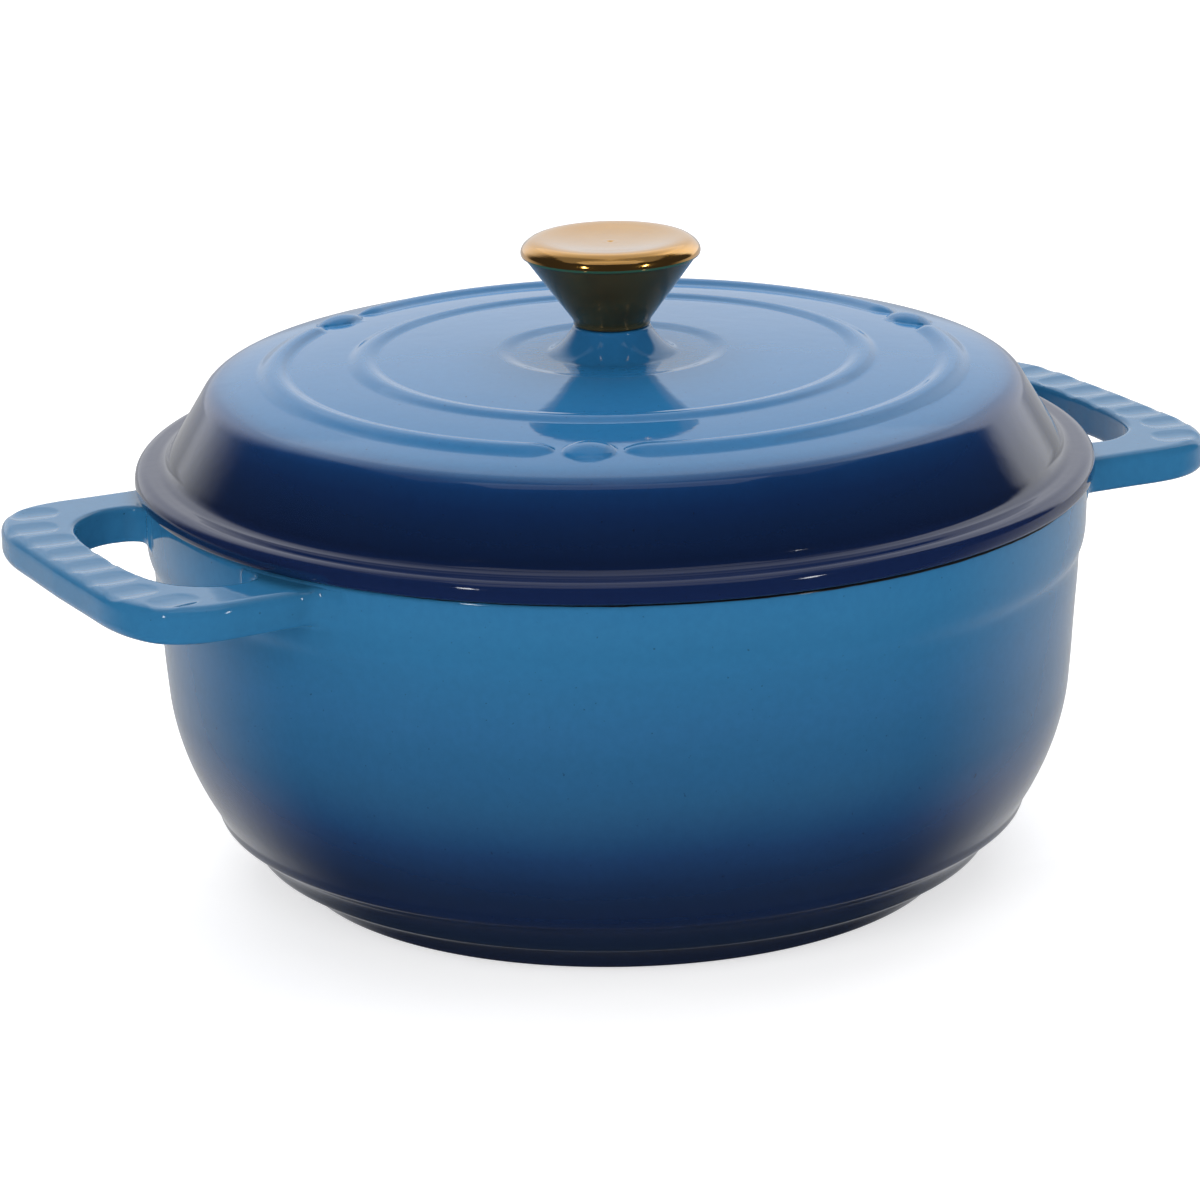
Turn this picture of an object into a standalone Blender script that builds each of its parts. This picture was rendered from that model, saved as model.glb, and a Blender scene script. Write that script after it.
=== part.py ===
"""Enamelled cast iron dutch oven: a pot cast in one with two loop handles, and a lid with a screwed-on knob.

Units are metres and +Z is up. The origin is the centre of the pot's resting plane, and the
handles point along -X and +X. The lid and all that is screwed to it lift straight up +Z.
"""
import math

import bmesh
import bpy
from mathutils import Matrix

MM = 0.001
GAP = 0.3 * MM                # clearance left between pieces that touch

# pot
RIM_Z = 117.3 * MM            # top of the pot's rim
RIM_R = 135.1 * MM            # outside of the raised band below the rim
BORE_R = 128.9 * MM           # inside of the pot at the rim
FLOOR_Z = 5.6 * MM            # cooking surface
FOOT_R = 93.4 * MM            # outer edge of the flat that the pot stands on
STEPS = 56                    # facets round the pot and the lid
KNOB_STEPS = 32               # facets round the knob and the fasteners

# handles, in plan: x is measured from the pot's axis
HANDLE_TIP_X = 174.0 * MM
HANDLE_HALF_W = 60.5 * MM
HANDLE_TOP_Z = 115.6 * MM
HANDLE_LOW_Z = 105.0 * MM
HANDLE_CORNER_R = 20.0 * MM
HANDLE_EDGE_R = 2.6 * MM
HOLE_TIP_X = 158.4 * MM
HOLE_HALF_W = 42.6 * MM
HOLE_CORNER_R = 17.0 * MM
ARM_ROOT_R = 131.6 * MM       # the arms end inside the wall's thickness
WEB_R = 133.4 * MM            # the finger hole ends just inside the wall
FILLET_OUT_R = 9.0 * MM
FILLET_IN_R = 6.0 * MM
FLUTE_COUNT = 8
FLUTE_PITCH = 14.2 * MM
FLUTE_DEPTH = 0.7 * MM
FLUTE_CUT_R = 22.0 * MM
FLUTE_X = 165.6 * MM
FLUTE_LEN = 10.5 * MM

# lid
FLANGE_R = 137.5 * MM
FLANGE_LOW_Z = RIM_Z + GAP
FLANGE_TOP_Z = 123.5 * MM
SIDE_R_AT_125 = 128.15 * MM   # radius of the sloping side at a height of 125 mm
SIDE_ANGLE = math.radians(31.3)
SHOULDER_R = 7.9 * MM
CROWN_Z = 153.5 * MM          # top of the lid's shallow crown, if it ran on under the boss
CROWN_R = 830.0 * MM
LID_WALL = 3.9 * MM
LIP_OUT_R = 127.6 * MM        # locating lip that drops inside the pot
LIP_IN_R = 124.2 * MM
LIP_LOW_Z = 113.6 * MM
INNER_RING_R = 71.5 * MM
INNER_RING_W = 3.4 * MM
INNER_RING_H = 1.8 * MM
OUTER_RING_R = 97.0 * MM
OUTER_RING_W = 3.6 * MM
OUTER_RING_H = 2.4 * MM
DOT_R = 5.6 * MM
DOT_H = 2.6 * MM
DOT_GAP = math.radians(5.6)   # from a dot's centre to the rounded end of the ring beside it
DOT_ANGLES = [math.radians(a) for a in (0.0, 120.0, 240.0)]
RECESS_OUT_R = 33.0 * MM
RECESS_IN_R = 28.0 * MM
RECESS_DEPTH = 0.9 * MM
BOSS_TOP_R = 11.3 * MM
BOSS_TOP_Z = 159.9 * MM
SCREW_HOLE_R = 3.4 * MM

# knob, gasket and fasteners
GASKET_R = 10.0 * MM
GASKET_T = 0.6 * MM
GASKET_Z = BOSS_TOP_Z + GAP
KNOB_Z = GASKET_Z + GASKET_T + GAP
KNOB_LOW_R = 10.5 * MM
SEAM_R = 24.6 * MM
SEAM_Z = 180.2 * MM
SHELL_T = 1.2 * MM
CAP_R = 25.6 * MM
CAP_TOP_Z = 185.3 * MM
SHAFT_R = 3.0 * MM            # M6 screw
SHAFT_TOP_Z = 174.5 * MM
LAND_Z = 148.4 * MM           # flat seat for the washers under the lid
LAND_R = 11.0 * MM
FLAT_WASHER_R = 6.2 * MM
FLAT_WASHER_T = 1.2 * MM
LOCK_WASHER_R = 5.6 * MM
LOCK_WASHER_T = 1.6 * MM
LOCK_WASHER_SLIT = 1.2 * MM
HEAD_R = 5.9 * MM
HEAD_H = 3.6 * MM
BUSH_R = 5.5 * MM
BUSH_FLANGE_R = 8.0 * MM


def empty_scene():
    for old in list(bpy.data.objects):
        bpy.data.objects.remove(old, do_unlink=True)


def collection(name):
    made = bpy.data.collections.new(name)
    bpy.context.scene.collection.children.link(made)
    return made


def material(name, rgb, metallic, roughness):
    made = bpy.data.materials.new(name)
    made.use_nodes = True
    shader = made.node_tree.nodes["Principled BSDF"]
    shader.inputs["Base Color"].default_value = (*rgb, 1.0)
    shader.inputs["Metallic"].default_value = metallic
    shader.inputs["Roughness"].default_value = roughness
    made.diffuse_color = (*rgb, 1.0)
    return made


def mesh_object(name, mesh, mat, home):
    obj = bpy.data.objects.new(name, mesh)
    home.objects.link(obj)
    mesh.materials.clear()
    mesh.materials.append(mat)
    return obj


def as_cutter(obj):
    obj.hide_render = True
    obj.display_type = "WIRE"
    return obj


def evaluated(obj):
    """The object's mesh with its modifiers, or its curve's bevel, worked out and welded."""
    bpy.context.view_layer.update()
    graph = bpy.context.evaluated_depsgraph_get()
    mesh = bpy.data.meshes.new_from_object(obj.evaluated_get(graph))
    shape = bmesh.new()
    shape.from_mesh(mesh)
    bmesh.ops.remove_doubles(shape, verts=shape.verts, dist=1e-6)
    shape.to_mesh(mesh)
    shape.free()
    return mesh


def turned(name, profile, steps, mat, home, closed):
    """Turn a profile of (radius, height) points round Z and weld it, ready for a Boolean.

    A closed profile leaves a hole at the axis; an open one starts and ends on the axis.
    """
    mesh = bpy.data.meshes.new(name)
    links = [(i, i + 1) for i in range(len(profile) - 1)]
    if closed:
        links.append((len(profile) - 1, 0))
    mesh.from_pydata([(r, 0.0, z) for r, z in profile], links, [])
    obj = mesh_object(name, mesh, mat, home)
    screw = obj.modifiers.new("Turn", "SCREW")
    screw.axis = "Z"
    screw.angle = math.tau
    screw.steps = steps
    screw.render_steps = steps
    screw.use_merge_vertices = True
    screw.merge_threshold = 1e-6
    mesh = evaluated(obj)
    obj.modifiers.clear()
    obj.data = mesh
    return obj


def boolean(obj, other, operation, solver="EXACT"):
    cut = obj.modifiers.new(operation.title(), "BOOLEAN")
    cut.operation = operation
    cut.solver = solver
    cut.object = other


def joined(name, meshes, mat, home):
    """One hidden operand made of several meshes that don't touch each other."""
    shape = bmesh.new()
    for mesh in meshes:
        shape.from_mesh(mesh)
    out = bpy.data.meshes.new(name)
    shape.to_mesh(out)
    shape.free()
    return as_cutter(mesh_object(name, out, mat, home))


def finish(obj, angle=40.0):
    """Apply the modifiers and shade smooth, keeping edges sharper than the angle."""
    mesh = evaluated(obj)
    obj.modifiers.clear()
    obj.data = mesh
    mesh.shade_smooth()
    mesh.set_sharp_from_angle(angle=math.radians(angle))


def arc(cx, cy, radius, start, stop, count):
    """Points along an arc, both ends included; angles in degrees."""
    points = []
    for i in range(count + 1):
        a = math.radians(start + (stop - start) * i / count)
        points.append((cx + radius * math.cos(a), cy + radius * math.sin(a)))
    return points


def crown_z(r):
    return CROWN_Z - r * r / (2 * CROWN_R)


def bump(r, centre, half_width, height):
    """Height of a rounded bead at a radius; zero outside it."""
    u = (r - centre) / half_width
    if abs(u) >= 1:
        return 0.0
    return height * (1 - u * u)


def pot_profile():
    """Inside from the axis up to the rim, down the outside to the foot, and under it to the axis."""
    outside = [(RIM_R - 1.2 * MM, RIM_Z), (RIM_R - 0.2 * MM, RIM_Z - 0.9 * MM), (RIM_R, RIM_Z - 2.2 * MM)]
    outside += [(134.9 * MM, 102.0 * MM), (134.4 * MM, 99.0 * MM), (133.2 * MM, 95.5 * MM)]
    # belly: nearly upright, then an even curve in to the foot
    outside += [(132.6 * MM, 87.0 * MM), (131.4 * MM, 72.0 * MM), (130.5 * MM, 60.0 * MM), (128.8 * MM, 48.0 * MM)]
    outside += [(126.0 * MM, 39.0 * MM), (122.0 * MM, 30.0 * MM), (118.0 * MM, 23.2 * MM)]
    # two rounded steps with coves between them, then the standing edge
    outside += [(117.0 * MM, 20.4 * MM), (114.2 * MM, 18.4 * MM), (110.2 * MM, 15.6 * MM), (108.0 * MM, 12.6 * MM)]
    outside += [(107.0 * MM, 10.0 * MM), (104.4 * MM, 8.4 * MM), (100.0 * MM, 6.6 * MM), (96.8 * MM, 3.4 * MM)]
    outside += [(95.2 * MM, 0.9 * MM), (FOOT_R, 0.0)]
    under = [(FOOT_R - 5.0 * MM, 0.0), (FOOT_R - 6.4 * MM, 1.2 * MM), (0.0, 1.2 * MM)]
    inside = [(0.0, FLOOR_Z), (82.0 * MM, FLOOR_Z), (92.0 * MM, 7.4 * MM), (101.2 * MM, 11.8 * MM)]
    inside += [(108.2 * MM, 18.4 * MM), (113.7 * MM, 26.4 * MM), (118.3 * MM, 35.2 * MM), (122.1 * MM, 45.0 * MM)]
    inside += [(125.1 * MM, 57.0 * MM), (127.1 * MM, 72.0 * MM), (128.3 * MM, 90.0 * MM), (BORE_R, 108.0 * MM)]
    inside += [(BORE_R, RIM_Z - 1.0 * MM), (BORE_R + 1.0 * MM, RIM_Z)]
    return inside + outside + under


def fillet_points(radius, half_width, wall_r, outer):
    """Arc that blends an arm's side, at y = half_width, into a round wall."""
    cy = half_width + radius if outer else half_width - radius
    cx = math.sqrt((wall_r + radius) ** 2 - cy * cy)
    on_wall = math.degrees(math.atan2(-cy, -cx))
    side = 270.0 if outer else 90.0
    start = on_wall + 360.0 if outer else on_wall % 360.0
    return arc(cx, cy, radius, start, side, 4)


def handle_outlines():
    """The loop's outer outline and its finger hole, both anticlockwise in plan, for the +X handle."""
    tip = arc(HANDLE_TIP_X - HANDLE_CORNER_R, HANDLE_HALF_W - HANDLE_CORNER_R, HANDLE_CORNER_R, 90, 8, 6)
    upper = fillet_points(FILLET_OUT_R, HANDLE_HALF_W, RIM_R, True) + tip
    root = math.degrees(math.asin((HANDLE_HALF_W + 4.2 * MM) / ARM_ROOT_R))
    back = arc(0.0, 0.0, ARM_ROOT_R, -root, root, 12)
    outer = [(x, -y) for x, y in reversed(upper)]
    outer = back + upper + outer
    hole_tip = arc(HOLE_TIP_X - HOLE_CORNER_R, HOLE_HALF_W - HOLE_CORNER_R, HOLE_CORNER_R, 90, 6, 5)
    side = fillet_points(FILLET_IN_R, HOLE_HALF_W, RIM_R, False) + hole_tip
    web = math.degrees(math.atan2(side[0][1], side[0][0])) - 2.0
    hole = arc(0.0, 0.0, WEB_R, -web, web, 8) + side + [(x, -y) for x, y in reversed(side)]
    return outer, hole


def handle_mesh(name, mat, home):
    data = bpy.data.curves.new(name, "CURVE")
    data.dimensions = "2D"
    data.fill_mode = "BOTH"
    for outline in handle_outlines():
        spline = data.splines.new("POLY")
        spline.points.add(len(outline) - 1)
        for point, (x, y) in zip(spline.points, outline):
            point.co = (x, y, 0.0, 1.0)
        spline.use_cyclic_u = True
    data.bevel_depth = HANDLE_EDGE_R
    data.bevel_resolution = 1
    data.offset = -HANDLE_EDGE_R
    data.extrude = (HANDLE_TOP_Z - HANDLE_LOW_Z) / 2 - HANDLE_EDGE_R
    obj = bpy.data.objects.new(name, data)
    home.objects.link(obj)
    mesh = evaluated(obj)
    bpy.data.objects.remove(obj, do_unlink=True)
    shape = bmesh.new()
    shape.from_mesh(mesh)
    bmesh.ops.translate(shape, verts=shape.verts, vec=(0.0, 0.0, (HANDLE_TOP_Z + HANDLE_LOW_Z) / 2))
    bmesh.ops.recalc_face_normals(shape, faces=shape.faces)
    shape.to_mesh(mesh)
    shape.free()
    return mesh


def flute_cutter(mat, home):
    """Shallow scallops across the top of both outer bars: lying cylinders that just dip in."""
    meshes = []
    for side in (1, -1):
        for i in range(FLUTE_COUNT):
            y = (i - (FLUTE_COUNT - 1) / 2) * FLUTE_PITCH
            # the end scallops sit back from the rounded corners
            x = FLUTE_X - max(0.0, abs(y) - 38.0 * MM) * 0.45
            shape = bmesh.new()
            bmesh.ops.create_cone(shape, cap_ends=True, segments=48, radius1=FLUTE_CUT_R, radius2=FLUTE_CUT_R,
                                  depth=FLUTE_LEN)
            bmesh.ops.rotate(shape, verts=shape.verts, matrix=Matrix.Rotation(math.pi / 2, 3, "Y"))
            height = HANDLE_TOP_Z - FLUTE_DEPTH + FLUTE_CUT_R
            bmesh.ops.translate(shape, verts=shape.verts, vec=(side * x, side * y, height))
            mesh = bpy.data.meshes.new("flute")
            shape.to_mesh(mesh)
            shape.free()
            meshes.append(mesh)
    return meshes


def build_pot(home, tools):
    enamel = material("pot_enamel", (0.030, 0.155, 0.345), 0.0, 0.18)
    pot = turned("pot_body", pot_profile(), STEPS, enamel, home, False)
    loop = handle_mesh("handle_loop", enamel, tools)
    other = loop.copy()
    spun = bmesh.new()
    spun.from_mesh(other)
    bmesh.ops.rotate(spun, verts=spun.verts, matrix=Matrix.Rotation(math.pi, 3, "Z"))
    spun.to_mesh(other)
    spun.free()
    # the exact solver drops the pot where the loops meet its wall
    boolean(pot, joined("handle_loops", [loop, other], enamel, tools), "UNION", "MANIFOLD")
    flutes = flute_cutter(enamel, tools)
    boolean(pot, joined("flutes_even", flutes[0::2], enamel, tools), "DIFFERENCE", "MANIFOLD")
    boolean(pot, joined("flutes_odd", flutes[1::2], enamel, tools), "DIFFERENCE", "MANIFOLD")
    finish(pot)


def lid_profile():
    """Outside from the boss out and down to the flange's edge, then the underside back to the hole."""
    outside = [(SCREW_HOLE_R, BOSS_TOP_Z), (BOSS_TOP_R - 0.8 * MM, BOSS_TOP_Z), (BOSS_TOP_R, BOSS_TOP_Z - 0.8 * MM)]
    floor_z = crown_z(RECESS_IN_R) - RECESS_DEPTH
    # the boss flares out to the recess floor along a quarter of an ellipse
    for i in range(1, 6):
        a = math.radians(90.0 * i / 5)
        flare = 1 - math.sin(a)
        drop = 1 - math.cos(a)
        r = BOSS_TOP_R + 7.0 * MM * drop
        outside.append((r, floor_z + (BOSS_TOP_Z - 0.8 * MM - floor_z) * flare))
    outside += [(RECESS_IN_R, floor_z), (RECESS_OUT_R, crown_z(RECESS_OUT_R))]
    for i in range(5):
        r = INNER_RING_R + INNER_RING_W * (i - 2) / 2
        outside.append((r, crown_z(r) + bump(r, INNER_RING_R, INNER_RING_W, INNER_RING_H)))
    outside.append((OUTER_RING_R, crown_z(OUTER_RING_R)))
    # shoulder: an arc between the crown and the sloping side
    normal = (math.cos(SIDE_ANGLE), math.sin(SIDE_ANGLE))
    along = (-math.sin(SIDE_ANGLE), math.cos(SIDE_ANGLE))
    base = (SIDE_R_AT_125 - SHOULDER_R * normal[0], 125.0 * MM - SHOULDER_R * normal[1])
    centre_z = CROWN_Z - CROWN_R
    across = base[0] * along[0] + (base[1] - centre_z) * along[1]
    square = base[0] ** 2 + (base[1] - centre_z) ** 2 - (CROWN_R - SHOULDER_R) ** 2
    run = -across + math.sqrt(across * across - square)
    shoulder = (base[0] + run * along[0], base[1] + run * along[1])
    top = math.degrees(math.atan2(shoulder[1] - centre_z, shoulder[0]))
    outside += arc(shoulder[0], shoulder[1], SHOULDER_R, top, math.degrees(SIDE_ANGLE), 4)
    low_r = SIDE_R_AT_125 - 1.6 * MM * math.tan(SIDE_ANGLE)
    outside += [(low_r, 126.6 * MM), (low_r + 1.4 * MM, 124.5 * MM), (low_r + 3.6 * MM, FLANGE_TOP_Z)]
    outside += [(FLANGE_R - 2.3 * MM, FLANGE_TOP_Z - 0.2 * MM), (FLANGE_R - 0.6 * MM, FLANGE_TOP_Z - 1.4 * MM)]
    outside += [(FLANGE_R, FLANGE_TOP_Z - 3.2 * MM), (FLANGE_R, FLANGE_LOW_Z + 1.0 * MM)]
    outside += [(FLANGE_R - 1.0 * MM, FLANGE_LOW_Z)]
    under = [(LIP_OUT_R, FLANGE_LOW_Z), (LIP_OUT_R, LIP_LOW_Z + 0.8 * MM), (LIP_OUT_R - 0.8 * MM, LIP_LOW_Z)]
    under += [(LIP_IN_R + 0.6 * MM, LIP_LOW_Z), (LIP_IN_R - 0.4 * MM, LIP_LOW_Z + 2.0 * MM)]
    side_foot = SIDE_R_AT_125 - LID_WALL / math.cos(SIDE_ANGLE)
    rise = shoulder[1] - 125.0 * MM
    under += [(side_foot - 0.6 * MM, 125.0 * MM), (side_foot - rise * math.tan(SIDE_ANGLE), 125.0 * MM + rise)]
    inner_top = crown_z(104.0 * MM) - LID_WALL
    under += [(109.0 * MM, inner_top - 1.0 * MM), (104.0 * MM, inner_top)]
    under += [(r * MM, crown_z(r * MM) - LID_WALL) for r in (72.0, 34.0)]
    under += [(LAND_R + 1.5 * MM, crown_z(LAND_R) - LID_WALL), (LAND_R, LAND_Z), (SCREW_HOLE_R, LAND_Z)]
    return outside + under


def ring_arc(start, stop, tools):
    """One arc of the broken outer ring: a bent bar, flattened to the ring's height."""
    data = bpy.data.curves.new("ring_arc", "CURVE")
    data.dimensions = "3D"
    data.bevel_depth = OUTER_RING_W
    data.bevel_resolution = 2
    data.use_fill_caps = True
    spline = data.splines.new("POLY")
    points = arc(0.0, 0.0, OUTER_RING_R, math.degrees(start), math.degrees(stop), 18)
    spline.points.add(len(points) - 1)
    for point, (x, y) in zip(spline.points, points):
        point.co = (x, y, 0.0, 1.0)
    obj = bpy.data.objects.new("ring_arc", data)
    tools.objects.link(obj)
    mesh = evaluated(obj)
    bpy.data.objects.remove(obj, do_unlink=True)
    return flattened(mesh, (0.0, 0.0), OUTER_RING_H / OUTER_RING_W)


def flattened(mesh, centre, squash):
    """Squash a mesh about its own mid plane and set that plane on the lid's crown at the ring."""
    shape = bmesh.new()
    shape.from_mesh(mesh)
    bmesh.ops.scale(shape, verts=shape.verts, vec=(1.0, 1.0, squash))
    bmesh.ops.translate(shape, verts=shape.verts, vec=(centre[0], centre[1], crown_z(OUTER_RING_R)))
    bmesh.ops.recalc_face_normals(shape, faces=shape.faces)
    shape.to_mesh(mesh)
    shape.free()
    return mesh


def ball(radius, height, angle):
    """A flattened ball on the outer ring's circle."""
    shape = bmesh.new()
    bmesh.ops.create_uvsphere(shape, u_segments=12, v_segments=8, radius=radius)
    mesh = bpy.data.meshes.new("ball")
    shape.to_mesh(mesh)
    shape.free()
    centre = (OUTER_RING_R * math.cos(angle), OUTER_RING_R * math.sin(angle))
    return flattened(mesh, centre, height / radius)


def build_lid(home, tools):
    enamel = material("lid_enamel", (0.040, 0.190, 0.430), 0.0, 0.15)
    lid = turned("lid", lid_profile(), STEPS, enamel, home, True)
    arcs, ends, dots = [], [], []
    for i, angle in enumerate(DOT_ANGLES):
        after = DOT_ANGLES[(i + 1) % len(DOT_ANGLES)] + (math.tau if i == len(DOT_ANGLES) - 1 else 0.0)
        arcs.append(ring_arc(angle + DOT_GAP, after - DOT_GAP, tools))
        ends.append(ball(OUTER_RING_W * 1.02, OUTER_RING_H * 1.02, angle + DOT_GAP))
        ends.append(ball(OUTER_RING_W * 1.02, OUTER_RING_H * 1.02, angle - DOT_GAP))
        dots.append(ball(DOT_R, DOT_H, angle))
    boolean(lid, joined("ring_arcs", arcs, enamel, tools), "UNION")
    boolean(lid, joined("ring_ends", ends, enamel, tools), "UNION")
    boolean(lid, joined("ring_dots", dots, enamel, tools), "UNION")
    finish(lid)


def build_knob(home):
    gold = material("knob_gold", (0.820, 0.560, 0.220), 1.0, 0.16)
    bronze = material("knob_cone_gold", (0.560, 0.400, 0.170), 1.0, 0.14)
    rubber = material("gasket_black", (0.020, 0.020, 0.022), 0.0, 0.7)
    hole = SHAFT_R + 0.4 * MM
    ring = [(hole, GASKET_Z + GASKET_T), (GASKET_R, GASKET_Z + GASKET_T), (GASKET_R, GASKET_Z), (hole, GASKET_Z)]
    finish(turned("knob_gasket", ring, KNOB_STEPS, rubber, home, True), 30)

    slope = (SEAM_R - KNOB_LOW_R) / (SEAM_Z - KNOB_Z)
    thick = SHELL_T * math.sqrt(1 + slope * slope)
    inner_low = KNOB_LOW_R + slope * SHELL_T - thick
    neck_hole = SHAFT_R + 0.5 * MM
    shell = [(SEAM_R, SEAM_Z), (KNOB_LOW_R + slope * 0.8 * MM, KNOB_Z + 0.8 * MM), (KNOB_LOW_R - 0.5 * MM, KNOB_Z)]
    shell += [(neck_hole, KNOB_Z), (neck_hole, KNOB_Z + SHELL_T), (inner_low, KNOB_Z + SHELL_T)]
    shell += [(SEAM_R - thick, SEAM_Z)]
    finish(turned("knob_cone", shell, KNOB_STEPS, bronze, home, True), 30)

    low = SEAM_Z + GAP
    rim = [(0.0, CAP_TOP_Z - 1.3 * MM), (8.0 * MM, CAP_TOP_Z - 1.1 * MM), (15.0 * MM, CAP_TOP_Z - 0.5 * MM)]
    rim += [(20.0 * MM, CAP_TOP_Z), (22.4 * MM, CAP_TOP_Z - 0.4 * MM), (24.4 * MM, CAP_TOP_Z - 1.6 * MM)]
    rim += [(CAP_R, CAP_TOP_Z - 3.3 * MM), (CAP_R - 0.2 * MM, low + 0.6 * MM), (CAP_R - 0.8 * MM, low)]
    rim += [(CAP_R - 2.6 * MM, low), (CAP_R - 3.0 * MM, CAP_TOP_Z - 2.6 * MM), (20.0 * MM, CAP_TOP_Z - 1.4 * MM)]
    rim += [(15.0 * MM, CAP_TOP_Z - 1.9 * MM), (0.0, CAP_TOP_Z - 2.7 * MM)]
    finish(turned("knob_cap", rim, KNOB_STEPS, gold, home, False), 30)


def build_fasteners(home, tools):
    steel = material("zinc_steel", (0.560, 0.560, 0.550), 1.0, 0.32)
    bore = SHAFT_R + GAP
    low = KNOB_Z + SHELL_T + GAP
    bush = [(BUSH_R, SHAFT_TOP_Z - 2.0 * MM), (BUSH_R, low + 2.0 * MM), (BUSH_FLANGE_R, low + 2.0 * MM)]
    bush += [(BUSH_FLANGE_R, low), (bore, low), (bore, SHAFT_TOP_Z - 2.0 * MM)]
    finish(turned("knob_bush", bush, KNOB_STEPS, steel, home, True), 30)

    flat_top = LAND_Z - GAP
    flat_low = flat_top - FLAT_WASHER_T
    hole = SHAFT_R + 0.4 * MM
    flat = [(FLAT_WASHER_R, flat_top), (FLAT_WASHER_R, flat_low), (hole, flat_low), (hole, flat_top)]
    finish(turned("flat_washer", flat, KNOB_STEPS, steel, home, True), 30)

    lock_top = flat_low - GAP
    lock_low = lock_top - LOCK_WASHER_T
    lock = [(LOCK_WASHER_R, lock_top), (LOCK_WASHER_R, lock_low), (hole, lock_low), (hole, lock_top)]
    spring = turned("lock_washer", lock, KNOB_STEPS, steel, home, True)
    slit = bmesh.new()
    bmesh.ops.create_cube(slit, size=1.0)
    bmesh.ops.scale(slit, verts=slit.verts, vec=(2 * LOCK_WASHER_R, LOCK_WASHER_SLIT, 3 * LOCK_WASHER_T))
    bmesh.ops.translate(slit, verts=slit.verts, vec=(LOCK_WASHER_R, 0.0, (lock_top + lock_low) / 2))
    slit_mesh = bpy.data.meshes.new("washer_slit")
    slit.to_mesh(slit_mesh)
    slit.free()
    boolean(spring, as_cutter(mesh_object("washer_slit", slit_mesh, steel, tools)), "DIFFERENCE")
    finish(spring, 30)

    head_top = lock_low - GAP
    head_low = head_top - HEAD_H
    screw = [(0.0, SHAFT_TOP_Z), (SHAFT_R - 0.6 * MM, SHAFT_TOP_Z), (SHAFT_R, SHAFT_TOP_Z - 0.6 * MM)]
    screw += [(SHAFT_R, head_top), (HEAD_R - 0.2 * MM, head_top), (HEAD_R, head_top - 0.4 * MM)]
    screw += [(HEAD_R, head_top - 1.6 * MM), (HEAD_R - 1.0 * MM, head_low + 0.6 * MM), (HEAD_R - 2.4 * MM, head_low)]
    screw += [(0.0, head_low)]
    pan = turned("knob_screw", screw, KNOB_STEPS, steel, home, False)
    cross = bmesh.new()
    bmesh.ops.create_cube(cross, size=1.0)
    bmesh.ops.scale(cross, verts=cross.verts, vec=(1.2 * HEAD_R, 1.1 * MM, 4.0 * MM))
    arm = cross.copy()
    bmesh.ops.rotate(arm, verts=arm.verts, matrix=Matrix.Rotation(math.pi / 2, 3, "Z"))
    for name, bar in (("recess_bar_a", cross), ("recess_bar_b", arm)):
        bmesh.ops.translate(bar, verts=bar.verts, vec=(0.0, 0.0, head_low))
        bar_mesh = bpy.data.meshes.new(name)
        bar.to_mesh(bar_mesh)
        bar.free()
        boolean(pan, as_cutter(mesh_object(name, bar_mesh, steel, tools)), "DIFFERENCE")
    finish(pan, 30)


def main():
    empty_scene()
    home = collection("dutch_oven")
    tools = collection("cutters")
    build_pot(home, tools)
    build_lid(home, tools)
    build_knob(home)
    build_fasteners(home, tools)


main()
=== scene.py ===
"""Looks of an enamelled cast iron dutch oven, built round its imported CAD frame.

Lengths in the tables and shape functions are millimetres; meshes are made in metres, in the
frame's own axes: +Z up, the pot's axis on the origin, the loop handles along -X and +X.
"""
import math

import bmesh
import bpy
import numpy as np
from mathutils import Matrix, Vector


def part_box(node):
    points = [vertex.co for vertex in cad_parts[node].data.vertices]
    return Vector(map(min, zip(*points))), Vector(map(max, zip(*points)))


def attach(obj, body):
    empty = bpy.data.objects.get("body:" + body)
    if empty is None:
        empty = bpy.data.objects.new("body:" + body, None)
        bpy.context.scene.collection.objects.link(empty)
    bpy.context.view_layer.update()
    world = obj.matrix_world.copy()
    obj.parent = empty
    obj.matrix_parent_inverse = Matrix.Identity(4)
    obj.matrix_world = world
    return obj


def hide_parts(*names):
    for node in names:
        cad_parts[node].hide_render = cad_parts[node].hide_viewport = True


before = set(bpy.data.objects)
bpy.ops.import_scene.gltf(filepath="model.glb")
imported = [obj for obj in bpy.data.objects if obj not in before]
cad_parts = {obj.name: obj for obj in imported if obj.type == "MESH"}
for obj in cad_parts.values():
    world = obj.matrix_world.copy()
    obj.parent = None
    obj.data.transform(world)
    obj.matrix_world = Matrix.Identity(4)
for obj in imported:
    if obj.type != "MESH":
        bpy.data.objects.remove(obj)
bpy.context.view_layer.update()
MM = 0.001

SHARP = math.radians(35)      # edges sharper than this are not shaded smooth
SAME_POINT = 2e-6             # points of a turned mesh closer than this, in metres, are one

# pot
TIP_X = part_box("pot_body")[1].x / MM - 0.02
TURN_STEPS = 432
RIM_R = 135.1                 # the wall just under the rim, where the handles are cast on
HANDLE_TOP = 115.6
HANDLE_LOW = 105.0
EDGE_R = 3.3                  # rounding along the handle's outer edges
HOLE_EDGE_R = 1.5             # and round its finger hole
WALL_BLEND = 2.2              # soft fillet where a handle grows out of the wall
UNDER_SKIN = 0.03             # the blend runs this far under the turned wall
FLUTES = [(i - 3.5) * 14.2 for i in range(8)]
FLUTE_DEPTH = 0.55
FLUTE_HALF = 5.9              # half width of a scallop, along the grip
FLUTE_REACH = 7.0             # half length, across the grip
FLUTE_MID = 165.2             # x of the middle scallops' centres
FLUTE_FAN = 300.0             # a scallop is turned by its y over this, in radians
FLUTE_STRAIGHT = 36.0         # beyond this y the scallops' centres move back towards the wall,
FLUTE_BACK = 0.42             # by this much for each millimetre of y
NET_STEP = 0.6
NET_LOW, NET_HIGH = (104.5, -78.0, 99.4), (176.5, 78.0, 118.0)
PLAN_LOW, PLAN_HIGH = (104.0, -80.0), (178.0, 80.0)
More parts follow.
